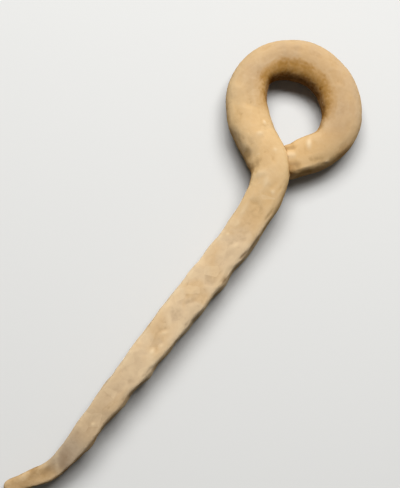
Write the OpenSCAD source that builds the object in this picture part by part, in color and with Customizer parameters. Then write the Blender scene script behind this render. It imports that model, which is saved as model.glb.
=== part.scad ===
// Nail hook: one forged bar, its round end bent to a closed eye and its other
// end hammered square, drawn down and left blunt. It lies as it rests: the eye
// and the tip touch the ground, and the shank is arched a little clear of it.
// The origin is the middle of the eye, +Z is up, and the shank runs along -Y.

/* [Bar] */
// Round bar the eye is bent from
bar_d = 12; // [11:0.5:13]
// Side of the bar where its end meets the neck
end_w = 10.5; // [9.5:0.5:12]
// Side of the squared shank below the neck
shank_w = 9.6; // [8.6:0.2:11]
// Side of the bar near its blunt tip
tip_w = 5; // [4:0.5:7]

/* [Eye] */
// Bend radius over the crown of the eye
eye_top_r = 15.5; // [14.5:0.5:17]
// Bend radius on the side that carries the bar's end
eye_end_r = 12.5; // [11.5:0.5:14]
// Bend radius on the side that runs to the neck
eye_leg_r = 11.5; // [10.5:0.5:13]
// Width of the bar where the eye is bent tightest
tight_w = 11; // [10:0.5:12.5]
// Clearance between the bar's end and the neck it lies against
lap_gap = 0.2; // [0.2:0.1:0.8]

/* [Neck] */
// Bend radius of the leg that crosses below the eye
leg_r = 25; // [22.5:0.5:28]
// Bend radius of the neck, back into line with the shank
neck_r = 15; // [12:0.5:18]
// Height of the neck above the plane of the eye
neck_rise = 2.2; // [1.6:0.2:3.4]

/* [Shank] */
// Length of the easy curve below the neck
shoulder_l = 18.5; // [14:0.5:24]
// Length of the straight shank
shank_l = 70; // [55:1:80]
// Height of the shank's arch above the plane of the eye
arch_rise = 2.1; // [0.6:0.1:3]

/* [Tip] */
// Bend radius that turns the tip aside
tip_bend_r = 18; // [14:1:26]
// Angle the tip is turned aside
tip_angle = 34; // [24:1:50]
// Length of bar past that bend
tip_l = 10; // [5:0.5:13]

/* [Hammering] */
// Squareness of the shank, from 2 for round to 8 for sharp corners
squareness = 5.5; // [3:0.5:7]
// Depth of the deepest hammer marks
blow_depth = 0.7; // [0.2:0.1:1]
// Unevenness of the bar all over
unevenness = 0.12; // [0:0.02:0.2]

/* [Hidden] */

bar_color = [0.69, 0.55, 0.38];

// Turns of the bar from its end round the eye, in degrees, left positive
end_angle = 57;
top_angle_end = 63;
top_angle_leg = 42.5;
leg_side_angle = 78;
leg_angle = 39.5;
neck_angle = -61.5;
shoulder_angle = -9;
shank_angle = 0.5;

// Crown of the eye, across and up, in parts of its mean bend radius
crown_heading = 180;
crown_ratio = [-0.095, 1.025];
eye_mean_r = (eye_end_r + 2 * eye_top_r + eye_leg_r) / 4;

// Facets round the bar and length between its rings
sides = 32;
ring_gap = 1.36;
end_rings = 6;
cap_rings = 4;
dome_rings = 4;

// Length of the rounding at the blunt tip, and share of its width left at the very end
dome_l = tip_w * 0.45;
tip_share = 0.78;
// Length of bar before the eye's first bend, and how far its foot may reach under the neck
end_l = 8;
end_toe = 1;
// Clearance from the ground under the bar's end and under the shoulder
end_lift = 0.3;
shoulder_lift = 0.4;
// Spacing of the places measured along the neck and the heights
fit_step = 0.5;

function arc_l(r, turn) = r * abs(turn) * PI / 180;

// Bends of the bar in order, each its length and its turn
bends = [
  [arc_l(eye_end_r, end_angle), end_angle],
  [arc_l(eye_top_r, top_angle_end + top_angle_leg), top_angle_end + top_angle_leg],
  [arc_l(eye_leg_r, leg_side_angle), leg_side_angle],
  [arc_l(leg_r, leg_angle), leg_angle],
  [arc_l(neck_r, neck_angle), neck_angle],
  [shoulder_l, shoulder_angle],
  [shank_l, shank_angle],
  [arc_l(tip_bend_r, tip_angle), -tip_angle],
  [tip_l, 0]
];

// State [distance, x, y, heading] after a length and turn from a state
function bent(st, len, turn) =
  let (h = st[3], r = turn == 0 ? 0 : len / (turn * PI / 180))
  turn == 0
    ? [st[0] + len, st[1] + len * cos(h), st[2] + len * sin(h), h]
    : [
        st[0] + len,
        st[1] + r * (sin(h + turn) - sin(h)),
        st[2] - r * (cos(h + turn) - cos(h)),
        h + turn
      ];

// The bar's end, walked back from the crown of the eye
crown = [0, crown_ratio.x * eye_mean_r, crown_ratio.y * eye_mean_r, crown_heading];
past_crown = bent(crown, -arc_l(eye_top_r, top_angle_end), -top_angle_end);
eye_start = bent(past_crown, -arc_l(eye_end_r, end_angle), -end_angle);

function chain(st, i = 0) =
  i >= len(bends) ? [st] : concat([st], chain(bent(st, bends[i][0], bends[i][1]), i + 1));

marks = chain([0, eye_start[1], eye_start[2], eye_start[3]]);
s_leg = marks[3][0];
s_neck = marks[4][0];
s_shoulder = marks[5][0];
s_shank = marks[6][0];
s_bend = marks[7][0];
s_end = marks[len(bends)][0];

function bend_at(s, i = 0) = (i >= len(bends) - 1 || s < marks[i + 1][0]) ? i : bend_at(s, i + 1);
function plan_at(s) =
  let (i = bend_at(s), part = (s - marks[i][0]) / bends[i][0])
  bent(marks[i], s - marks[i][0], bends[i][1] * part);

// A smooth step from one value to the next through a list of [distance, value]
function ease(t) = let (c = min(max(t, 0), 1)) c * c * (3 - 2 * c);
function along(rows, s, i = 0) =
  i >= len(rows) - 1 ? rows[i][1]
  : s < rows[i + 1][0]
    ? rows[i][1] + (rows[i + 1][1] - rows[i][1]) * ease((s - rows[i][0]) / (rows[i + 1][0] - rows[i][0]))
    : along(rows, s, i + 1);

// Height of the bar's middle; the eye, the shoulder and the tip are low
ground = -bar_d / 2;
end_z = ground + end_w / 2 + end_lift;
shoulder_z = ground + shank_w / 2 + shoulder_lift;
tip_z = ground + tip_w * tip_share / 2;
heights = [
  [-end_l, end_z],
  [bar_d / 3, 0],
  [s_leg - bar_d / 2, 0],
  [s_neck + bar_d / 2, neck_rise],
  [s_shoulder + 0.8 * shoulder_l, shoulder_z],
  [s_shank + 0.92 * shank_l, arch_rise],
  [s_end, tip_z]
];

// Half width of the bar: round at the eye, squared shank, long even taper
s_tight = marks[2][0] + 0.4 * bends[2][0];
taper_from = s_shank + 0.3 * shank_l;
halves = [
  [bar_d / 6, end_w / 2],
  [bar_d, bar_d / 2],
  [s_tight - bar_d, bar_d / 2],
  [s_tight, tight_w / 2],
  [s_tight + bar_d, bar_d / 2],
  [s_neck + bar_d / 3, bar_d / 2],
  [s_shoulder + bar_d * 0.6, shank_w / 2],
  [taper_from, shank_w / 2]
];
taper_to = s_bend + bar_d / 2;
function taper_at(s) = min(1, (s - taper_from) / (taper_to - taper_from));
function point_at(s) = 1 - (1 - tip_share) * ease((s - taper_to) / (s_end - taper_to));
function half_at(s) =
  s < taper_from
    ? along(halves, s)
    : (shank_w - (shank_w - tip_w) * taper_at(s)) / 2 * point_at(s);

// Squareness of the section: round at the eye, hammered at both ends
squares = [
  [-end_l, 3],
  [bar_d / 2, 2],
  [s_neck + bar_d * 0.7, 2],
  [s_shoulder + bar_d * 0.8, squareness],
  [s_bend, squareness],
  [s_end, 3]
];

// Hammer marks: [percent of the bar's length, angle round, share of full depth, reach along
// in bar widths, reach round]; a share below 0 is a lump left standing between two marks
// 0 is the end's side of the shank, 90 its top, 180 its far side
blows = [
  [-3.5, 190, 1.2, 0.32, 36], [-2, 85, 0.3, 0.33, 40], [-0.5, 190, -0.5, 0.35, 40],
  [-4.4, 25, 1.7, 0.26, 42], [4.5, 100, 0.3, 0.42, 40], [2, 30, 0.2, 0.25, 22],
  [2.4, 0, 0.45, 0.3, 34], [5.5, 0, 0.5, 0.3, 30], [10.2, 180, 0.35, 0.5, 36], [13.6, 120, 0.25, 0.42, 36],
  [16.5, 180, -0.35, 0.4, 36], [20.1, 60, 0.25, 0.42, 36], [20.1, 180, 0.3, 0.25, 30],
  [22.6, 180, -0.45, 0.3, 34], [24.4, 0, 0.8, 0.3, 32], [25.4, 180, 0.4, 0.4, 36],
  [29.2, 110, 0.25, 0.42, 36], [33.7, 0, -0.55, 0.4, 32], [34.2, 60, 0.25, 0.42, 30],
  [35.2, 165, 0.7, 0.22, 22], [38, 152, 0.6, 0.17, 20], [41.4, 185, 1.5, 0.2, 28],
  [43.3, 172, 0.6, 0.26, 28], [43.8, 25, 0.5, 0.25, 22], [43.4, 350, 0.5, 0.35, 34],
  [45.6, 178, 0.5, 0.3, 24], [45.8, 60, 0.35, 0.33, 25], [48.8, 355, 0.8, 0.25, 34],
  [50.7, 178, 0.7, 0.35, 24], [50.8, 75, 0.35, 0.25, 22], [51.8, 22, 0.7, 0.2, 16],
  [55.6, 350, 1.2, 0.27, 40], [55.9, 26, 0.6, 0.18, 14], [54.3, 110, 0.3, 0.33, 25],
  [58.4, 350, -0.5, 0.17, 36], [58.1, 178, 1, 0.29, 24], [58.9, 85, 0.4, 0.29, 20],
  [60.9, 350, 1.1, 0.22, 40], [62.4, 60, 0.3, 0.29, 22], [61.4, 178, 0.45, 0.25, 24],
  [63.9, 130, 0.35, 0.25, 22], [65.2, 180, 0.6, 0.2, 24], [64.8, 352, 1.2, 0.15, 40],
  [64.9, 25, 0.5, 0.18, 14], [67.9, 350, 1.1, 0.23, 40], [67.2, 178, 0.6, 0.2, 22],
  [69.4, 85, 0.45, 0.33, 22], [69.9, 180, 0.7, 0.22, 24], [72.7, 350, 0.8, 0.2, 40],
  [74.6, 350, -0.8, 0.17, 36], [74.7, 182, 1, 0.26, 26], [73.5, 42, 0.5, 0.18, 18],
  [75.5, 75, 0.4, 0.29, 22], [77.7, 350, 0.9, 0.23, 40], [77.5, 181, 0.5, 0.15, 22],
  [78.5, 42, 0.6, 0.2, 18], [80, 120, 0.4, 0.25, 22], [79.9, 182, -0.5, 0.3, 30],
  [80, 350, -0.3, 0.2, 36], [82.3, 180, 0.4, 0.17, 24], [83.8, 350, 0.9, 0.27, 40],
  [83, 48, 0.5, 0.22, 18], [84.5, 90, 0.35, 0.25, 24], [87.1, 352, -1.1, 0.2, 34],
  [88, 182, 1.3, 0.24, 28], [87.8, 125, 0.4, 0.25, 24], [91, 352, 1, 0.24, 36],
  [90.6, 50, 0.4, 0.25, 24], [91.3, 181, 0.9, 0.22, 28], [94.6, 90, 0.4, 0.33, 26],
  [94.9, 352, 1.2, 0.25, 34], [94.9, 182, -0.3, 0.2, 30], [49.3, 280, 0.4, 0.42, 30],
  [60.4, 265, 0.5, 0.33, 30], [70.4, 275, 0.5, 0.33, 30], [80.5, 268, 0.5, 0.33, 30],
  [89.6, 272, 0.4, 0.33, 30]
];
swell = 0.28;
function turn_gap(a, b) = let (d = abs(a - b) % 360) min(d, 360 - d);
function bump(t) = exp(-t * t);
function blow_sum(s, a) = [
  for (b = blows)
    let (off = (s - s_end * b[0] / 100) / (bar_d * b[3]))
    if (abs(off) < 3) b[2] * bump(off) * bump(turn_gap(a, b[1]) / b[4])
];
function total(v, i = 0, sum = 0) = i >= len(v) ? sum : total(v, i + 1, sum + v[i]);

// Slow waves that keep any stretch of the bar from being even
function wave(s, a) =
  let (t = 92 * s / bar_d)
  (sin(3 * t + 2 * a) + sin(5.3 * t - a + 70) + 0.7 * sin(8.7 * t + 3 * a + 200)) / 2.7;

// Marks are cut into stock left this much over size, from the neck on
function stock(s) =
  swell * blow_depth * ease((s - s_neck) / bar_d) * ease((s_end - s) / (1.2 * bar_d));

function radius_at(s, a) =
  let (n = along(squares, s), full = half_at(s) + stock(s))
  full * pow(pow(abs(cos(a)), n) + pow(abs(sin(a)), n), -1 / n)
    - blow_depth * total(blow_sum(s, a)) + unevenness * wave(s, a);

// Frame of the bar at a distance: middle, travel, left side and top
function frame_at(s) =
  let (
    p = plan_at(s), h = p[3],
    climb = along(heights, s + fit_step) - along(heights, s - fit_step),
    pitch = atan2(climb, 2 * fit_step)
  )
  [
    [p[1], p[2], along(heights, s)],
    [cos(h) * cos(pitch), sin(h) * cos(pitch), sin(pitch)],
    [-sin(h), cos(h), 0],
    [-cos(h) * sin(pitch), -sin(h) * sin(pitch), cos(pitch)]
  ];
function around(fr, s, shrink = 1) = [
  for (j = [0:sides - 1])
    let (a = j * 360 / sides, r = radius_at(s, a) * shrink)
    fr[0] + r * cos(a) * fr[2] + r * sin(a) * fr[3]
];

// The bar's end, straight back from the eye: each line along it stops at the neck
end_heading = marks[0][3];
end_back = [-cos(end_heading), -sin(end_heading), 0];
end_side = [-sin(end_heading), cos(end_heading), 0];
neck_fit = [
  for (s = [s_leg:fit_step:s_shoulder])
    [frame_at(s)[0], half_at(s) + lap_gap + unevenness]
];
function stop_at(p, c, r) =
  let (b = (c - p) * end_back, q = (c - p) * (c - p) - b * b)
  (q < r * r && b > 0) ? b - sqrt(r * r - q) : 2 * end_l;
function reach(p) = min([for (f = neck_fit) stop_at(p, f[0], f[1])]);
function end_middle(s) = [marks[0][1], marks[0][2], along(heights, s)];
function end_section(s) = around([end_middle(s), -end_back, end_side, [0, 0, 1]], s);
end_face = end_section(-end_l);
end_mid = end_middle(-end_l);
longest = reach(end_mid) + end_toe;
function pushed(p, part = 1) = end_back * min(reach(p), longest) * part;
function cap_row(shrink) = [for (p = end_face) let (q = end_mid + (p - end_mid) * shrink) q + pushed(q)];
function end_row(part) =
  let (here = end_section(-end_l * part))
  [for (j = [0:sides - 1]) here[j] + pushed(end_face[j], part)];
cap_mid = end_mid + pushed(end_mid);

body_rings = ceil((s_end - dome_l) / ring_gap);
rows = concat(
  [for (k = [1:cap_rings - 1]) cap_row(k / cap_rings)],
  [for (k = [0:end_rings - 1]) end_row(1 - k / end_rings)],
  [for (k = [0:body_rings]) let (s = (s_end - dome_l) * k / body_rings) around(frame_at(s), s)],
  [
    for (k = [1:dome_rings - 1])
      let (t = k / dome_rings, s = s_end - dome_l * (1 - sin(90 * t)))
      around(frame_at(s), s_end - dome_l, cos(90 * t))
  ]
);
tip_mid = frame_at(s_end)[0];

// Skin over the rows, with a fan at each end
first = len(rows) * sides;
skin = concat(
  [
    for (i = [0:len(rows) - 2], j = [0:sides - 1])
      let (a = i * sides + j, b = i * sides + (j + 1) % sides)
      [a, a + sides, b + sides]
  ],
  [
    for (i = [0:len(rows) - 2], j = [0:sides - 1])
      let (a = i * sides + j, b = i * sides + (j + 1) % sides)
      [a, b + sides, b]
  ],
  [for (j = [0:sides - 1]) [first, j, (j + 1) % sides]],
  [for (j = [0:sides - 1]) [first + 1, first - sides + (j + 1) % sides, first - sides + j]]
);

module nail_hook() {
  color(bar_color)
    polyhedron(points = concat([for (r = rows) each r], [cap_mid, tip_mid]), faces = skin);
}

nail_hook();
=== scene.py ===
"""Nail hook: the forged bar's hammered, rusted surface and the stage it lies on."""

import math
import random

import bmesh
import bpy
import numpy as np
from bpy.props import FloatProperty, FloatVectorProperty, IntProperty, PointerProperty
from bpy.types import Operator, Panel, PropertyGroup
from mathutils import Matrix, Vector, noise
from mathutils.bvhtree import BVHTree
from mathutils.kdtree import KDTree


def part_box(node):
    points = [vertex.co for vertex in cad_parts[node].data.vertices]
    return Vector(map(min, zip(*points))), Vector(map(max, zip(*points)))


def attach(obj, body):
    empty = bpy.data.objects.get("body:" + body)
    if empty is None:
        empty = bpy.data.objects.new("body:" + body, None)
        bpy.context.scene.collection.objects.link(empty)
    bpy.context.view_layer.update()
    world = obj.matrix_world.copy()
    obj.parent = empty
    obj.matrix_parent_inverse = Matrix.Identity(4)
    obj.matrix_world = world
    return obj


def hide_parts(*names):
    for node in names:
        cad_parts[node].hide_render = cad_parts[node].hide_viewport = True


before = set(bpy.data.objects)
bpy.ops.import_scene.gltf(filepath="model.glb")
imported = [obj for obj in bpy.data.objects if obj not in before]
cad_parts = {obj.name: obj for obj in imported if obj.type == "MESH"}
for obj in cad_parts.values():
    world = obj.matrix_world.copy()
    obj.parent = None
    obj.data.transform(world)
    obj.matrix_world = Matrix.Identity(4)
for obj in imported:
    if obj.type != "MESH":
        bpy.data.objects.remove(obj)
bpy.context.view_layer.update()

bl_info = {
    "name": "Nail Hook",
    "version": (1, 0, 0),
    "blender": (4, 5, 0),
    "location": "3D View > Sidebar > Nail Hook",
    "description": "Builds a hand-forged nail hook with a hammered, rusted surface",
    "category": "Add Mesh",
}

NODE = "nail_hook"
MM = 0.001
LOW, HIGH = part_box(NODE)

# The level heading across the neck, from its left side to its right
ACROSS = math.radians(37.5)

# The lap of the bar's end on the neck: its middle and its reach in mm, the level direction
# away from the neck, where the neck's side lies along it in mm, the width drawn shut in mm, and
# how far from its middle, in mm, the painted shade on the eye's inner wall starts and is full
LAP_MIDDLE = np.array((8.0, -14.0, 0.0))
LAP_REACH = 10.0
LAP_AWAY = np.array((math.cos(ACROSS), math.sin(ACROSS), 0.0))
LAP_EDGE = -3.0
LAP_FILL = 2.4
LAP_SHADE_START = 14
LAP_SHADE_FULL = 19

# The level direction from the head of the eye towards the neck, and how far from the middle of
# the eye, in mm, its inner side starts and ends its fade. The painted shade on the eye's inner
# wall is strongest where the wall faces along that direction
EYE_DOWN = np.array((math.sin(ACROSS), -math.cos(ACROSS), 0.0))
EYE_FADE_START = 16
EYE_FADE_END = 24

# How a blow lands: its reach over the ring that its face would cut, the height in mm of what
# keeps the hammer off, the most that it presses in, in depths, and where in its reach it fades
BLOW_REACH = 1.1
BLOW_STOP = 0.6
BLOW_LIMIT = 1.2
BLOW_FADE = 0.55

# How far a placed lump is worked out, in its own reaches
LUMP_REACH = 3

# Layers of noise on the surface: share of its height, repeats per mm and shift
SWELL_LAYERS = ((1.0, 0.16, (0, 0, 0)), (0.5, 0.42, (9, 2, 5)))
GRAIN_LAYERS = ((1.0, 1.1, (0, 0, 0)), (0.7, 2.3, (0, 0, 0)))
PIT_LAYERS = ((1.0, 0.55, (31, 7, 3)), (0.5, 1.3, (3, 17, 8)))

# Rays that test how open to the air a point is, and the turn from each to the next
OPEN_RAYS = 96
OPEN_TURN = math.radians(137.508)

# The floor's radius, and how far from its middle it starts and ends its fade into the room,
# in metres
FLOOR_RADIUS = 4.0
FADE_START = 0.11
FADE_END = 0.30

# The light that the floor throws back on the hook, and the tint of the room's light
FLOOR_BOUNCE = (0.16, 0.15, 0.135, 1.0)
ROOM_TINT = (1.0, 0.96, 0.90, 1.0)

# The lamps' distance in metres and height over the ground as an angle, and each lamp's bearing
# in degrees
LAMP_DISTANCE = 0.8
LAMP_RISE = math.radians(60)
LAMP_BEARINGS = (("left", 137.5), ("right", 92.5))

# The camera's place in metres, its lean from straight down, and its lens and sensor in mm
CAMERA_PLACE = (0.04512, -0.10338, 0.32970)
CAMERA_LEAN = math.radians(12)
CAMERA_LENS = 108
CAMERA_SENSOR = 36


def tone(red, green, blue):
    """Linear colour with alpha from red, green and blue of 0 to 255."""
    parts = []
    for level in (red, green, blue):
        share = level / 255
        if share <= 0.04045:
            parts.append(share / 12.92)
        else:
            parts.append(((share + 0.055) / 1.055) ** 2.4)
    return (*parts, 1.0)


def paint(name, description, red, green, blue):
    """A colour that a user can change, with its default as levels of 0 to 255."""
    return FloatVectorProperty(
        name=name,
        description=description,
        subtype="COLOR",
        size=4,
        min=0.0,
        max=1.0,
        default=tone(red, green, blue),
    )


def smooth_step(low, high, value):
    """0 below low, 1 above high and a smooth rise between, for numbers and arrays."""
    share = np.clip((value - low) / (high - low), 0.0, 1.0)
    return share * share * (3.0 - 2.0 * share)


# Flats left by single blows: place on the bar in mm, depth in mm and radius of the hammer's
# domed face in mm. Each is struck square to the surface nearest its place.
FLATS = (
    ((-16.9, 8.6, 4.0), 0.14, 90),
    ((-9.6, 13.2, 5.5), 0.12, 80),
    ((6.2, 13.2, 5.8), 0.13, 110),
    ((15.4, 3.6, 5.2), 0.12, 80),
    ((-17.2, -3.4, 5.1), 0.14, 90),
    ((-12.5, -11.6, 5.7), 0.12, 70),
    ((9.3, -10.4, 4.7), 0.16, 60),
    ((5.6, -17.4, 8.1), 0.12, 60),
    ((6.2, -24.6, 7.2), 0.18, 50),
    ((9.8, -26.6, 6.7), 0.20, 50),
    ((8.8, -31.0, 5.7), 0.20, 50),
    ((8.7, -36.3, 4.5), 0.20, 60),
)

# Lumps, hollows and stains placed singly: place in mm, heading of the long axis in degrees,
# reach along and across it in mm, height in mm, below 0 for a hollow, and share of dark rust,
# below 0 for pale dust. In some rows that share is painted shade, or below 0 painted light.
WORKED = (
    # Raised ridge on the bar's end, its pale share partly a painted highlight
    ((9.7, -7.0, 4.7), 127, 1.4, 0.7, 0.40, -1.0),
    ((8.1, -12.6, 4.6), 80, 0.9, 0.8, 0.42, -0.5),
    ((6.9, -10.4, 4.2), 60, 1.3, 0.9, -0.30, 0.1),
    ((5.9, -11.1, 4.0), 60, 1.0, 0.9, -0.05, 0.22),
    ((10.1, -14.1, 4.7), 35, 1.5, 0.9, -0.28, 0.22),
    ((10.9, -15.8, 4.1), 40, 1.2, 0.7, 0.30, 0.10),
    ((12.8, -13.1, 3.8), 50, 2.0, 0.6, 0.22, 0.0),
    # Painted shade on the low side of the bar's end by the neck
    ((11.2, -14.8, 4.2), 40, 2.2, 1.4, 0.0, 0.42),
    # Painted shade on the underside of the eye's outer edge, right of the bar's end
    ((18.8, -2.4, 1.9), 60, 3.4, 1.8, 0.0, 0.48),
    ((15.0, -8.2, 4.1), 50, 1.6, 0.9, -0.18, 0.08),
    ((10.8, 0.8, 4.7), 65, 2.6, 1.3, 0.0, -0.28),
    # Painted shade on the wall inside the head of the eye
    ((-7.2, 10.4, 5.4), 25, 3.0, 1.1, 0.0, 0.10),
    ((-15.7, 5.0, 5.4), 60, 4.5, 2.5, 0.0, -0.22),
    ((13.5, -10.0, 4.4), 20, 1.2, 0.8, -0.12, 0.06),
    ((16.7, -7.6, 2.9), 50, 0.6, 0.6, 0.25, -0.3),
    ((-3.9, -9.9, 6.1), 110, 0.7, 0.5, 0.30, -0.8),
    ((-2.6, -13.7, 7.7), 60, 0.9, 0.7, 0.22, -0.5),
    ((3.6, -14.9, 7.7), 60, 0.7, 0.5, 0.10, -0.4),
    ((-5.0, -19.1, 4.1), 150, 1.6, 1.0, -0.08, -0.05),
    # Painted light on the left side of the eye by the neck
    ((-7.9, -17.6, 3.4), 150, 2.4, 1.3, 0.0, -0.30),
    ((-10.0, -13.9, 6.1), 115, 3.0, 1.8, 0.0, 0.18),
    ((-3.6, -11.2, 6.9), 110, 2.0, 1.2, 0.0, 0.12),
    ((-2.7, -19.2, 5.6), 75, 1.5, 0.8, -0.10, 0.12),
    ((2.3, -19.7, 7.7), 100, 0.9, 0.6, -0.05, 0.12),
    ((1.8, -21.0, 6.9), 110, 1.5, 0.9, -0.12, 0.26),
    ((1.7, -22.6, 5.5), 100, 1.3, 0.8, -0.10, 0.36),
    ((-5.7, -17.3, 6.1), 150, 1.4, 0.7, -0.08, 0.12),
    ((4.3, -22.8, 7.1), 55, 2.0, 0.9, 0.28, -0.30),
    ((6.2, -21.2, 7.9), 60, 2.6, 1.6, 0.0, -0.25),
    ((7.0, -23.7, 7.5), 120, 1.4, 1.0, 0.15, -0.4),
    ((9.5, -23.4, 7.1), 90, 1.6, 0.9, -0.18, 0.05),
    # Painted light over the top of the neck
    ((8.0, -26.0, 7.0), 100, 4.5, 3.5, 0.0, -0.25),
    ((10.2, -24.9, 6.8), 60, 0.5, 0.5, 0.15, -0.6),
    ((11.4, -23.2, 6.3), 80, 1.5, 0.6, -0.15, 0.2),
    ((13.2, -28.7, 5.1), 95, 1.2, 0.6, -0.05, 0.2),
    ((13.4, -31.1, 4.8), 95, 1.6, 0.5, -0.15, 0.3),
    ((9.0, -32.3, 5.2), 60, 1.0, 0.5, -0.06, 0.10),
    ((6.9, -33.5, 5.0), 95, 2.6, 0.6, 0.15, -0.35),
    ((7.8, -37.6, 4.5), 90, 1.6, 0.8, 0.15, -0.3),
    ((7.3, -41.6, 4.1), 60, 0.5, 0.4, 0.15, -0.6),
    ((11.1, -42.8, 4.1), 70, 1.3, 0.6, 0.18, -0.4),
    ((6.4, -43.8, 3.8), 100, 1.0, 0.6, 0.15, -0.3),
    ((14.5, -43.2, 3.2), 80, 1.2, 0.7, -0.24, 0.55),
    ((14.3, -44.4, 3.6), 70, 0.9, 0.6, -0.16, 0.30),
    ((12.3, -46.1, 4.3), 60, 0.5, 0.4, 0.12, -0.4),
    ((14.9, -52.2, 3.2), 80, 1.1, 0.7, -0.20, 0.52),
    ((10.8, -63.1, 4.8), 60, 1.6, 0.5, -0.08, 0.12),
    ((6.6, -67.7, 4.8), 95, 1.0, 0.5, 0.12, -0.3),
    ((13.9, -68.6, 4.7), 80, 1.3, 0.7, -0.16, 0.30),
    ((9.4, -70.8, 5.1), 137, 2.2, 0.6, 0.15, -0.3),
    ((10.6, -74.1, 5.0), 60, 1.2, 0.6, 0.20, -0.4),
    ((9.0, -74.3, 5.1), 40, 1.5, 0.8, -0.10, 0.0),
    ((12.1, -77.7, 5.2), 70, 0.7, 0.5, 0.15, -0.45),
    ((11.0, -80.3, 5.3), 100, 0.9, 0.6, 0.25, -0.8),
    ((13.5, -84.9, 4.6), 80, 1.3, 0.7, -0.18, 0.32),
    ((13.3, -82.4, 4.7), 85, 2.0, 1.1, 0.08, -0.40),
    ((13.1, -86.7, 5.0), 80, 1.0, 0.6, -0.05, 0.3),
    ((10.1, -87.2, 5.3), 80, 2.0, 1.2, 0.15, -0.25),
    ((11.7, -89.7, 5.4), 60, 1.8, 1.0, -0.18, 0.12),
    ((13.0, -95.2, 5.0), 80, 1.5, 0.8, -0.15, 0.15),
    ((10.4, -105.4, 5.3), 60, 0.5, 0.4, 0.12, -0.45),
    ((9.9, -117.4, 3.5), 115, 3.4, 1.8, -0.06, 0.28),
    ((7.4, -117.4, 3.7), 120, 2.6, 0.8, 0.12, -0.22),
    ((10.6, -120.4, 2.4), 140, 2.2, 0.8, 0.10, -0.14),
    ((7.8, -121.9, 1.8), 80, 1.6, 0.9, -0.08, 0.20),
    ((6.8, -121.6, 1.8), 60, 1.2, 0.7, 0.10, -0.25),
    ((4.9, -124.9, 0.4), 70, 1.4, 0.8, -0.10, 0.16),
    ((3.6, -127.7, -0.8), 75, 1.6, 0.9, 0.08, -0.30),
)


class HookForge(PropertyGroup):
    """Sizes of the hammered surface."""

    refinement: IntProperty(
        name="Refinement",
        description="Times the bar's mesh is subdivided before it is hammered",
        default=2,
        min=0,
        max=2,
    )
    mark_depth: FloatProperty(
        name="Mark depth",
        description="Depth of the deepest of the scattered hammer marks",
        default=0.25 * MM,
        min=0.0,
        max=0.6 * MM,
        precision=5,
        unit="LENGTH",
    )
    hammer_crown: FloatProperty(
        name="Hammer crown",
        description="Radius of the hammer's slightly domed face",
        default=60 * MM,
        min=15 * MM,
        max=120 * MM,
        precision=4,
        unit="LENGTH",
    )
    tilt: FloatProperty(
        name="Tilt",
        description="Most that a scattered blow leans from square, each way",
        default=math.radians(4.5),
        min=0.0,
        max=math.radians(15),
        subtype="ANGLE",
        unit="ROTATION",
    )
    marks: IntProperty(
        name="Marks",
        description="Number of hammer marks scattered over the bar",
        default=300,
        min=0,
        max=1200,
    )
    unevenness: FloatProperty(
        name="Unevenness",
        description="Height of the broad swells left by the forging",
        default=0.10 * MM,
        min=0.0,
        max=0.3 * MM,
        precision=5,
        unit="LENGTH",
    )
    grain: FloatProperty(
        name="Grain",
        description="Height of the fine rust grain in the mesh",
        default=0.055 * MM,
        min=0.0,
        max=0.1 * MM,
        precision=5,
        unit="LENGTH",
    )
    pit_depth: FloatProperty(
        name="Pit depth",
        description="Depth of the rust pits",
        default=0.06 * MM,
        min=0.0,
        max=0.5 * MM,
        precision=5,
        unit="LENGTH",
    )
    seed: IntProperty(
        name="Seed",
        description="Seed of the scattered marks",
        default=11,
        min=0,
    )


class HookRust(PropertyGroup):
    """Colours of the rusted surface, and of the shade and light painted into it."""

    tan: paint("Tan", "Dusty tan rust round the eye", 204, 172, 130)
    straw: paint("Straw", "Paler, warm dust over the lap and the neck", 228, 195, 143)
    dust: paint("Dust", "Pale dust over the shank", 224, 200, 164)
    ochre: paint("Ochre", "Warmer patches of rust, and the tip", 214, 178, 124)
    clay: paint("Clay", "Duller patches of rust, mostly towards the tip", 186, 160, 126)
    ash: paint("Ash", "Greyer rust on the bend of the tip", 178, 160, 138)
    # Painted shade: the golden tint of the eye's inner wall and of where the bar faces little
    # open air
    shade_amber: paint("Amber", "Golden rust inside the eye and on the sides", 200, 150, 70)
    # Dark rust in pits, and also painted shade in creases and where the bar faces little open
    # air
    umber_and_shade: paint("Umber", "Dark rust in pits, creases and sheltered places", 114, 70, 18)
    # Pale dust on raised specks, and also painted light through the pale placed stains
    fleck_and_light: paint("Fleck", "Pale dust on raised specks", 240, 218, 180)


class HookStage(PropertyGroup):
    """Floor and light around the hook."""

    floor_color: paint("Floor", "Colour of the floor and of the room behind it", 226, 226, 224)
    lamp_power: FloatProperty(
        name="Lamp power",
        description="Power of each of the two soft lamps",
        default=3.7,
        min=0.0,
        max=20.0,
        unit="POWER",
    )
    lamp_size: FloatProperty(
        name="Lamp size",
        description="Width of each square lamp",
        default=0.34,
        min=0.05,
        max=1.0,
        unit="LENGTH",
    )
    room_light: FloatProperty(
        name="Room light",
        description="Strength of the even light from all round",
        default=0.075,
        min=0.0,
        max=1.0,
    )


class Value:
    """An output of a node; arithmetic on it adds Math nodes."""

    def __init__(self, nodes, socket):
        self.nodes = nodes
        self.socket = socket

    def maths(self, operation, first, second, clamp=False):
        settings = {"operation": operation, "use_clamp": clamp}
        return self.nodes.add("ShaderNodeMath", settings, {0: first, 1: second})

    def __add__(self, other):
        return self.maths("ADD", self, other)

    def __radd__(self, other):
        return self.maths("ADD", other, self)

    def __sub__(self, other):
        return self.maths("SUBTRACT", self, other)

    def __rsub__(self, other):
        return self.maths("SUBTRACT", other, self)

    def __mul__(self, other):
        return self.maths("MULTIPLY", self, other)

    def __rmul__(self, other):
        return self.maths("MULTIPLY", other, self)

    def clamped(self):
        return self.maths("ADD", self, 0.0, clamp=True)


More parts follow.
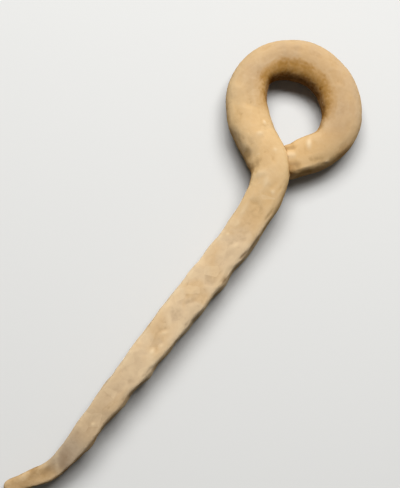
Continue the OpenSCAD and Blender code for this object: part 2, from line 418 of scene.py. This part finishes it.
class Nodes:
    """The nodes of one material, or of the room."""

    def __init__(self, owner):
        self.owner = owner
        self.owner.use_nodes = True
        self.tree = self.owner.node_tree
        self.tree.nodes.clear()

    def add(self, kind, settings=None, sockets=None, output=0):
        """Adds a node: its settings first, then the values or links of its sockets."""
        node = self.tree.nodes.new(kind)
        for key, value in (settings or {}).items():
            setattr(node, key, value)
        for key, value in (sockets or {}).items():
            if isinstance(value, Value):
                self.tree.links.new(value.socket, node.inputs[key])
            else:
                node.inputs[key].default_value = value
        return Value(self, node.outputs[output] if node.outputs else None)

    def blend(self, factor, first, second):
        """A colour between first and second."""
        settings = {"data_type": "RGBA"}
        sockets = {0: factor, 6: first, 7: second}
        return self.add("ShaderNodeMix", settings, sockets, output=2)

    def step(self, value, low, high):
        """0 below low, 1 above high, with a smooth rise between."""
        settings = {"interpolation_type": "SMOOTHSTEP"}
        sockets = {"Value": value, "From Min": low, "From Max": high}
        return self.add("ShaderNodeMapRange", settings, sockets)

    def grain(self, place, scale, detail, rough, warp=0.0):
        """Fractal noise round 0.5; scale is in repeats per metre."""
        sockets = {
            "Vector": place,
            "Scale": scale,
            "Detail": detail,
            "Roughness": rough,
            "Distortion": warp,
        }
        return self.add("ShaderNodeTexNoise", sockets=sockets)

    def mark(self, name):
        """A number kept on the mesh's points."""
        settings = {"attribute_type": "GEOMETRY", "attribute_name": name}
        return self.add("ShaderNodeAttribute", settings, output="Fac")

    def seen(self):
        """1 for what is seen, straight or in a reflection, and 0 for what lights the hook."""
        camera = self.add("ShaderNodeLightPath", output="Is Camera Ray")
        glossy = self.add("ShaderNodeLightPath", output="Is Glossy Ray")
        through = self.add("ShaderNodeLightPath", output="Is Transmission Ray")
        return (camera + glossy + through).clamped()


def openness(bvh, place, normal):
    """Share of the open air, above the ground, that a point of the surface faces."""
    start = place + normal * 0.05 * MM
    side = normal.orthogonal().normalized()
    other = normal.cross(side)
    clear = 0
    for number in range(OPEN_RAYS):
        spread = (number + 0.5) / OPEN_RAYS
        turn = number * OPEN_TURN
        flat = side * math.cos(turn) + other * math.sin(turn)
        ray = flat * math.sqrt(spread) + normal * math.sqrt(1.0 - spread)
        if ray.z > 0 and bvh.ray_cast(start, ray)[0] is None:
            clear += 1
    return clear / OPEN_RAYS


def bar_mesh(refinement):
    """The bar's mesh from model.glb, joined to quads and smoothly refined."""
    bm = bmesh.new()
    bm.from_mesh(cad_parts[NODE].data)
    bmesh.ops.remove_doubles(bm, verts=bm.verts, dist=1e-7)
    bmesh.ops.join_triangles(
        bm,
        faces=bm.faces,
        angle_face_threshold=math.radians(60),
        angle_shape_threshold=math.radians(70),
    )
    # Painted shade: how little open air each point faces, which the rust colour turns golden
    # and dark
    occlusion_shade = bm.verts.layers.float.new("occlusion_shade")
    bvh = BVHTree.FromBMesh(bm)
    for vert in bm.verts:
        vert[occlusion_shade] = 1.0 - openness(bvh, vert.co, vert.normal)
    rough = bpy.data.meshes.new("bar_rough")
    bm.to_mesh(rough)
    bm.free()
    carrier = bpy.data.objects.new("bar_rough", rough)
    bpy.context.scene.collection.objects.link(carrier)
    refine = carrier.modifiers.new("refine", "SUBSURF")
    refine.levels = refinement
    refine.render_levels = refinement
    graph = bpy.context.evaluated_depsgraph_get()
    mesh = bpy.data.meshes.new_from_object(carrier.evaluated_get(graph))
    bpy.data.objects.remove(carrier)
    bpy.data.meshes.remove(rough)
    return mesh


def points_and_normals(mesh):
    """The mesh's points and the normals at them, as arrays."""
    count = len(mesh.vertices)
    places = np.zeros(count * 3)
    mesh.vertices.foreach_get("co", places)
    normals = np.zeros(count * 3)
    mesh.vertices.foreach_get("normal", normals)
    return places.reshape(-1, 3), normals.reshape(-1, 3)


def store_points(mesh, places):
    """Writes the points back to the mesh."""
    mesh.vertices.foreach_set("co", places.ravel())
    mesh.update()


def strike(places, normals, tree, centre, normal, depth, crown):
    """Presses a domed hammer face into the surface round centre, where a hammer can reach."""
    reach = math.sqrt(2 * crown * depth) * BLOW_REACH
    near = np.array([index for _, index, _ in tree.find_range(centre, reach)], dtype=int)
    away = places[near] - np.array(centre)
    height = away @ normal
    facing = normals[near] @ normal
    in_the_way = (height > BLOW_STOP * MM) & (facing > 0.2)
    if np.any(in_the_way):
        return
    aside = np.linalg.norm(away - height[:, None] * normal, axis=1)
    face = aside * aside / (2 * crown) - depth
    above = np.clip(height - face, 0.0, BLOW_LIMIT * depth)
    fade = 1.0 - smooth_step(BLOW_FADE * reach, reach, np.linalg.norm(away, axis=1))
    places[near] -= (above * fade * smooth_step(0.15, 0.5, facing))[:, None] * normal


def work(places, normals, tree, stains_and_painted_light, row):
    """Raises one lump, or sinks one hollow, of WORKED and gives it its dark or pale share,
    which in some rows is painted shade or painted light.
    """
    centre, heading, long_reach, short_reach, height, stain_and_painted_light = row
    centre = Vector(centre) * MM
    _, middle, _ = tree.find(centre)
    normal = normals[middle]
    turn = math.radians(heading)
    along = np.array((math.cos(turn), math.sin(turn), 0.0))
    along -= (along @ normal) * normal
    along /= np.linalg.norm(along)
    across = np.cross(normal, along)
    found = tree.find_range(centre, LUMP_REACH * long_reach * MM)
    near = np.array([index for _, index, _ in found], dtype=int)
    away = (places[near] - places[middle]) / MM
    spread = (away @ along / long_reach) ** 2 + (away @ across / short_reach) ** 2
    share = np.exp(-spread) * smooth_step(0.0, 0.5, normals[near] @ normal)
    places[near] += (height * MM * share)[:, None] * normal
    stains_and_painted_light[near] += stain_and_painted_light * share


def close_lap(mesh):
    """Draws the bar's end up against the neck it was hammered to."""
    places, normals = points_and_normals(mesh)
    faces = [tuple(face.vertices) for face in mesh.polygons]
    bvh = BVHTree.FromPolygons([Vector(place) for place in places], faces)
    moved = places.copy()
    close = np.linalg.norm(places - LAP_MIDDLE * MM, axis=1) < LAP_REACH * MM
    beside = places @ LAP_AWAY > LAP_EDGE * MM
    turned_in = normals @ LAP_AWAY < 0.5
    for index in np.flatnonzero(close & beside & turned_in):
        start = Vector(places[index]) + Vector(normals[index]) * 0.02 * MM
        hit, facing, _, gap = bvh.ray_cast(start, Vector(-LAP_AWAY), LAP_FILL * MM)
        if hit is not None and facing.dot(Vector(LAP_AWAY)) > 0.6:
            shut = 1.0 - smooth_step(0.35 * LAP_FILL * MM, LAP_FILL * MM, gap)
            moved[index] -= gap * shut * LAP_AWAY
    store_points(mesh, moved)


def hammer(mesh, forge):
    """Strikes the single and the scattered marks, works the lumps and gives the stains, with
    the painted shade and light among them.
    """
    places, normals = points_and_normals(mesh)
    smooth = places.copy()
    enclosed = inward(places, normals)
    tree = KDTree(len(places))
    for index, place in enumerate(places):
        tree.insert(place, index)
    tree.balance()
    for place, depth, crown in FLATS:
        centre, index, _ = tree.find(Vector(place) * MM)
        strike(places, normals, tree, centre, normals[index], depth * MM, crown * MM)
    # Scattered blows are fewer and lighter on the eye, and lighter and rounder towards the tip
    chance = random.Random(forge.seed)
    for _ in range(forge.marks):
        index = chance.randrange(len(places))
        centre = Vector(smooth[index])
        on_shank = smooth_step(-0.018, -0.034, centre.y)
        tipward = smooth_step(-0.080, -0.125, centre.y)
        share = chance.uniform(0.3, 1.0) * (0.55 + 0.45 * on_shank) * (1 - 0.75 * tipward)
        crown = forge.hammer_crown * chance.uniform(0.6, 1.5) * (1 - 0.5 * tipward)
        struck = chance.random() < 0.55 + 0.45 * on_shank
        if struck and enclosed[index] < 0.2:
            depth = forge.mark_depth * share
            lean = np.array([chance.uniform(-1.0, 1.0) for _ in range(3)]) * forge.tilt
            normal = normals[index] + lean
            normal /= np.linalg.norm(normal)
            strike(places, normals, tree, centre, normal, depth, crown)
    stains_and_painted_light = np.zeros(len(places))
    for row in WORKED:
        work(places, normals, tree, stains_and_painted_light, row)
    store_points(mesh, places)
    return np.clip(stains_and_painted_light, -1.0, 1.0)


def layered(point, layers):
    """The sum of layers of noise at a point in mm."""
    total = 0.0
    for share, scale, shift in layers:
        total += share * noise.noise(point * scale + Vector(shift))
    return total


def roughen(mesh, forge):
    """Broad swells, fine grain and rust pits, along the surface normals."""
    places, normals = points_and_normals(mesh)
    lift = np.zeros(len(places))
    pits = np.zeros(len(places))
    for index, place in enumerate(places):
        point = Vector(place) / MM
        swell = layered(point, SWELL_LAYERS)
        grain = layered(point, GRAIN_LAYERS)
        lift[index] = swell * forge.unevenness + grain * forge.grain
        pits[index] = layered(point, PIT_LAYERS)
    sunk = smooth_step(0.50, 1.0, pits)
    lift -= sunk * forge.pit_depth
    places += lift[:, None] * normals
    store_points(mesh, places)
    return sunk


def hollows(mesh, rounds, reach):
    """How far each point lies below its smoothed surroundings, -1 to 1 at reach."""
    places, normals = points_and_normals(mesh)
    pairs = np.zeros(len(mesh.edges) * 2, dtype=np.int32)
    mesh.edges.foreach_get("vertices", pairs)
    pairs = pairs.reshape(-1, 2)
    count = np.bincount(pairs.ravel(), minlength=len(places))[:, None]
    even = places.copy()
    for _ in range(rounds):
        total = np.zeros_like(even)
        for axis in range(3):
            total[:, axis] = np.bincount(pairs[:, 0], even[pairs[:, 1], axis], len(even))
            total[:, axis] += np.bincount(pairs[:, 1], even[pairs[:, 0], axis], len(even))
        even = total / count
    below = np.einsum("ij,ij->i", even - places, normals)
    return np.clip(below / reach, -1.0, 1.0)


def inward(places, normals):
    """How far each point of the eye faces the eye's middle, 0 to 1."""
    out = places[:, :2]
    distance = np.linalg.norm(out, axis=1)
    facing = -np.einsum("ij,ij->i", out, normals[:, :2]) / np.maximum(distance, MM)
    past = smooth_step(EYE_FADE_START * MM, EYE_FADE_END * MM, distance)
    return np.clip(facing, 0.0, 1.0) * (1.0 - past)


def inner_wall_shade(mesh):
    """Painted shade on the wall inside the eye, 0 to 1: strongest where the wall faces the
    neck, away from the lamps, and ending before the lap.
    """
    places, normals = points_and_normals(mesh)
    from_lap = np.linalg.norm(places - LAP_MIDDLE * MM, axis=1)
    past_lap = smooth_step(LAP_SHADE_START * MM, LAP_SHADE_FULL * MM, from_lap)
    wall = inward(places, normals) * past_lap
    return wall * (0.45 + 0.55 * smooth_step(-0.1, 0.5, normals @ EYE_DOWN))


def keep_on_points(mesh, name, values):
    """Keeps one number for each point, for the material to read."""
    layer = mesh.attributes.new(name, "FLOAT", "POINT")
    layer.data.foreach_set("value", np.asarray(values, dtype=np.float32))


def rust_material(rust):
    """Matte dusty rust, whose tint follows the bar from the eye to the tip, with shade and
    light painted into its colour.
    """
    nodes = Nodes(bpy.data.materials.new("dusty_rust"))
    place = nodes.add("ShaderNodeTexCoord", output="Object")
    along = nodes.add("ShaderNodeSeparateXYZ", sockets={"Vector": place}, output="Y")
    patches = nodes.grain(place, 95, 3.0, 0.5, 0.6)
    mottle = nodes.grain(place, 330, 4.0, 0.6, 0.4)
    speckle = nodes.grain(place, 1100, 3.0, 0.65)
    flecks = nodes.grain(place, 620, 2.0, 0.5)
    sockets = {"Vector": place, "Scale": 270.0}
    facets = nodes.add("ShaderNodeTexVoronoi", sockets=sockets, output="Color")
    pit = nodes.mark("pit")
    hollow = nodes.mark("hollow")
    dent = nodes.mark("dent")
    # Placed stains, part of them painted shade and painted light
    stain_and_painted_light = nodes.mark("stain_and_painted_light")
    # Painted shade on the eye's inner wall, where it faces away from the lamps
    inside = nodes.step(nodes.mark("inner"), 0.05, 0.50)

    # Stretches of the bar, each from where it begins to where it is full, along Y in metres
    neck = nodes.step(along, 0.002, -0.010)
    shank = nodes.step(along, -0.026, -0.042)
    lower_shank = nodes.step(along, -0.080, -0.112)
    bend = nodes.step(along, -0.106, -0.114)
    tip = nodes.step(along, -0.118, -0.124)
    before_bend = nodes.step(along, -0.112, -0.102)
    # Painted shade where the bar faces little open air, weaker along the shank
    occlusion_shade = nodes.step(nodes.mark("occlusion_shade"), 0.10, 0.50)
    occlusion_shade = occlusion_shade * (1.0 - 0.65 * nodes.step(along, -0.030, -0.045) * before_bend)
    hammered = nodes.step(along, -0.014, -0.030) * nodes.step(along, -0.112, -0.100)
    forged = 0.3 + 0.7 * hammered

    # The tints of the stretches, with warm and dull patches, and golden painted shade on the
    # eye's inner wall and where the bar faces little open air
    color = nodes.blend(neck, tuple(rust.tan), tuple(rust.straw))
    color = nodes.blend(shank, color, tuple(rust.dust))
    warm = nodes.step(patches, 0.45, 0.65)
    color = nodes.blend(0.45 * warm, color, tuple(rust.ochre))
    dull = 0.25 * nodes.step(patches, 0.50, 0.36) + 0.7 * lower_shank
    color = nodes.blend(dull.clamped(), color, tuple(rust.clay))
    color = nodes.blend(0.6 * bend, color, tuple(rust.ash))
    color = nodes.blend(0.75 * tip, color, tuple(rust.ochre))
    golden_shade = 0.85 * inside + 0.45 * occlusion_shade
    color = nodes.blend(golden_shade.clamped(), color, tuple(rust.shade_amber))

    # Dark rust in pits, hollows and specks and on the tip, the dark share of the placed stains,
    # part of which is painted shade, painted shade on the eye's inner wall and where the bar
    # faces little open air, and darker cells of a Voronoi pattern on the hammered stretch
    dark = 0.10 * pit + 0.15 * hollow + 0.08 * dent + stain_and_painted_light + 0.15 * tip
    dark = dark + 0.22 * inside + occlusion_shade * (0.30 + 0.36 * inside)
    dark = dark + 0.15 * nodes.step(speckle, 0.66, 0.9)
    dark = dark + 0.15 * forged * nodes.step(facets, 0.5, 0.0)
    color = nodes.blend(dark.clamped(), color, tuple(rust.umber_and_shade))

    # Pale dust on what stands up and in flecks, the pale share of the placed stains, part of
    # which is painted light, and paler cells of the Voronoi pattern on the hammered stretch
    pale = -0.18 * hollow - 0.12 * dent - stain_and_painted_light + 0.3 * nodes.step(flecks, 0.70, 0.80)
    pale = pale + 0.42 * forged * nodes.step(facets, 0.5, 1.0)
    color = nodes.blend((0.8 * pale).clamped(), color, tuple(rust.fleck_and_light))

    height = 0.5 * mottle + 0.35 * speckle
    sockets = {"Strength": 0.6, "Distance": 0.3 * MM, "Height": height}
    bump = nodes.add("ShaderNodeBump", sockets=sockets)
    sockets = {
        "Base Color": color,
        "Roughness": (0.86 + 0.12 * mottle).clamped(),
        "Normal": bump,
        "Metallic": 0.0,
        "Specular IOR Level": 0.05,
        "Diffuse Roughness": 0.6,
    }
    surface = nodes.add("ShaderNodeBsdfPrincipled", sockets=sockets)
    nodes.add("ShaderNodeOutputMaterial", sockets={"Surface": surface})
    return nodes.owner


def floor_material(color, middle):
    """A plain pale floor that throws back less light than it shows and fades into the room."""
    nodes = Nodes(bpy.data.materials.new("pale_floor"))
    seen = nodes.seen()
    shown = nodes.blend(seen, FLOOR_BOUNCE, tuple(color))
    sockets = {"Base Color": shown, "Roughness": 0.9, "Specular IOR Level": 0.1}
    lit = nodes.add("ShaderNodeBsdfPrincipled", sockets=sockets)
    plain = nodes.add("ShaderNodeEmission", sockets={"Color": tuple(color), "Strength": 1.0})
    place = nodes.add("ShaderNodeTexCoord", output="Object")
    settings = {"operation": "DISTANCE"}
    away = nodes.add("ShaderNodeVectorMath", settings, {0: place, 1: tuple(middle)}, "Value")
    far = nodes.step(away, FADE_START, FADE_END) * seen
    surface = nodes.add("ShaderNodeMixShader", sockets={0: far, 1: lit, 2: plain})
    nodes.add("ShaderNodeOutputMaterial", sockets={"Surface": surface})
    return nodes.owner


def room(color, strength):
    """A dim, even light from all round, in a room that looks as pale as the floor."""
    nodes = Nodes(bpy.data.worlds.new("room"))
    dim = nodes.add("ShaderNodeBackground", sockets={"Color": ROOM_TINT, "Strength": strength})
    plain = nodes.add("ShaderNodeBackground", sockets={"Color": tuple(color), "Strength": 1.0})
    surface = nodes.add("ShaderNodeMixShader", sockets={0: nodes.seen(), 1: dim, 2: plain})
    nodes.add("ShaderNodeOutputWorld", sockets={"Surface": surface})
    return nodes.owner


class HOOK_OT_forge_bar(Operator):
    """Forges the visible bar: refines, hammers and rusts it"""

    bl_idname = "nail_hook.forge_bar"
    bl_label = "Forge bar"

    def execute(self, context):
        forge = context.scene.nail_hook_forge
        mesh = bar_mesh(forge.refinement)
        stains_and_painted_light = hammer(mesh, forge)
        pits = roughen(mesh, forge)
        close_lap(mesh)
        keep_on_points(mesh, "pit", pits)
        # Stains, with painted shade and painted light among them
        keep_on_points(mesh, "stain_and_painted_light", stains_and_painted_light)
        keep_on_points(mesh, "hollow", hollows(mesh, rounds=8, reach=0.12 * MM))
        keep_on_points(mesh, "dent", hollows(mesh, rounds=60, reach=0.30 * MM))
        # Painted shade for the eye's inner wall
        keep_on_points(mesh, "inner", inner_wall_shade(mesh))
        mesh.name = "forged_bar"
        mesh.materials.clear()
        mesh.materials.append(rust_material(context.scene.nail_hook_rust))
        mesh.shade_smooth()
        bar = bpy.data.objects.new("forged_bar", mesh)
        context.scene.collection.objects.link(bar)
        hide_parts(NODE)
        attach(bar, "root")
        return {"FINISHED"}


def lay_floor(stage, middle):
    """The plain floor that the hook lies on."""
    bm = bmesh.new()
    bmesh.ops.create_circle(bm, cap_ends=True, segments=96, radius=FLOOR_RADIUS)
    bmesh.ops.translate(bm, verts=bm.verts, vec=(middle.x, middle.y, LOW.z))
    mesh = bpy.data.meshes.new("floor")
    bm.to_mesh(mesh)
    bm.free()
    mesh.materials.append(floor_material(stage.floor_color, middle))
    floor = bpy.data.objects.new("floor", mesh)
    bpy.context.scene.collection.objects.link(floor)


def hang_lamp(side, bearing, stage, middle):
    """One soft square lamp over the hook, aimed at its middle."""
    lamp = bpy.data.lights.new("lamp_" + side, "AREA")
    lamp.energy = stage.lamp_power
    lamp.size = stage.lamp_size
    turn = math.radians(bearing)
    flat = Vector((math.cos(turn), math.sin(turn), 0)) * math.cos(LAMP_RISE)
    place = middle + (flat + Vector((0, 0, math.sin(LAMP_RISE)))) * LAMP_DISTANCE
    item = bpy.data.objects.new("lamp_" + side, lamp)
    item.location = place
    item.rotation_euler = (middle - place).to_track_quat("-Z", "Y").to_euler()
    bpy.context.scene.collection.objects.link(item)


def set_camera():
    """The camera over the shank, level across the neck."""
    lens = bpy.data.cameras.new("camera")
    lens.sensor_fit = "HORIZONTAL"
    lens.sensor_width = CAMERA_SENSOR
    lens.lens = CAMERA_LENS
    lens.clip_start = 0.01
    right = Vector((math.cos(ACROSS), math.sin(ACROSS), 0))
    up = Vector((-math.sin(ACROSS), math.cos(ACROSS), 0)) * math.cos(CAMERA_LEAN)
    up += Vector((0, 0, math.sin(CAMERA_LEAN)))
    turned = Matrix((right, up, right.cross(up))).transposed()
    camera = bpy.data.objects.new("camera", lens)
    camera.matrix_world = Matrix.Translation(CAMERA_PLACE) @ turned.to_4x4()
    bpy.context.scene.collection.objects.link(camera)
    bpy.context.scene.camera = camera


class HOOK_OT_set_stage(Operator):
    """Lays the floor and sets the lamps, the room light and the camera"""

    bl_idname = "nail_hook.set_stage"
    bl_label = "Set stage"

    def execute(self, context):
        scene = context.scene
        stage = scene.nail_hook_stage
        middle = (LOW + HIGH) / 2
        lay_floor(stage, middle)
        for side, bearing in LAMP_BEARINGS:
            hang_lamp(side, bearing, stage, middle)
        scene.world = room(stage.floor_color, stage.room_light)
        set_camera()
        scene.view_settings.view_transform = "Standard"
        return {"FINISHED"}


class HOOK_PT_panel(Panel):
    """Sizes, colours and steps of the nail hook"""

    bl_idname = "HOOK_PT_panel"
    bl_label = "Nail Hook"
    bl_space_type = "VIEW_3D"
    bl_region_type = "UI"
    bl_category = "Nail Hook"

    def draw(self, context):
        steps = (
            (("nail_hook_forge", "nail_hook_rust"), HOOK_OT_forge_bar),
            (("nail_hook_stage",), HOOK_OT_set_stage),
        )
        for groups, operator in steps:
            column = self.layout.column()
            for group in groups:
                settings = getattr(context.scene, group)
                for name in settings.__annotations__:
                    column.prop(settings, name)
            self.layout.operator(operator.bl_idname)


CLASSES = (
    HookForge,
    HookRust,
    HookStage,
    HOOK_OT_forge_bar,
    HOOK_OT_set_stage,
    HOOK_PT_panel,
)


def register():
    for cls in CLASSES:
        bpy.utils.register_class(cls)
    bpy.types.Scene.nail_hook_forge = PointerProperty(type=HookForge)
    bpy.types.Scene.nail_hook_rust = PointerProperty(type=HookRust)
    bpy.types.Scene.nail_hook_stage = PointerProperty(type=HookStage)


def unregister():
    del bpy.types.Scene.nail_hook_stage
    del bpy.types.Scene.nail_hook_rust
    del bpy.types.Scene.nail_hook_forge
    for cls in reversed(CLASSES):
        bpy.utils.unregister_class(cls)


def main():
    """Builds the hook and its stage."""
    register()
    bpy.ops.nail_hook.forge_bar()
    bpy.ops.nail_hook.set_stage()


if __name__ == "__main__":
    main()
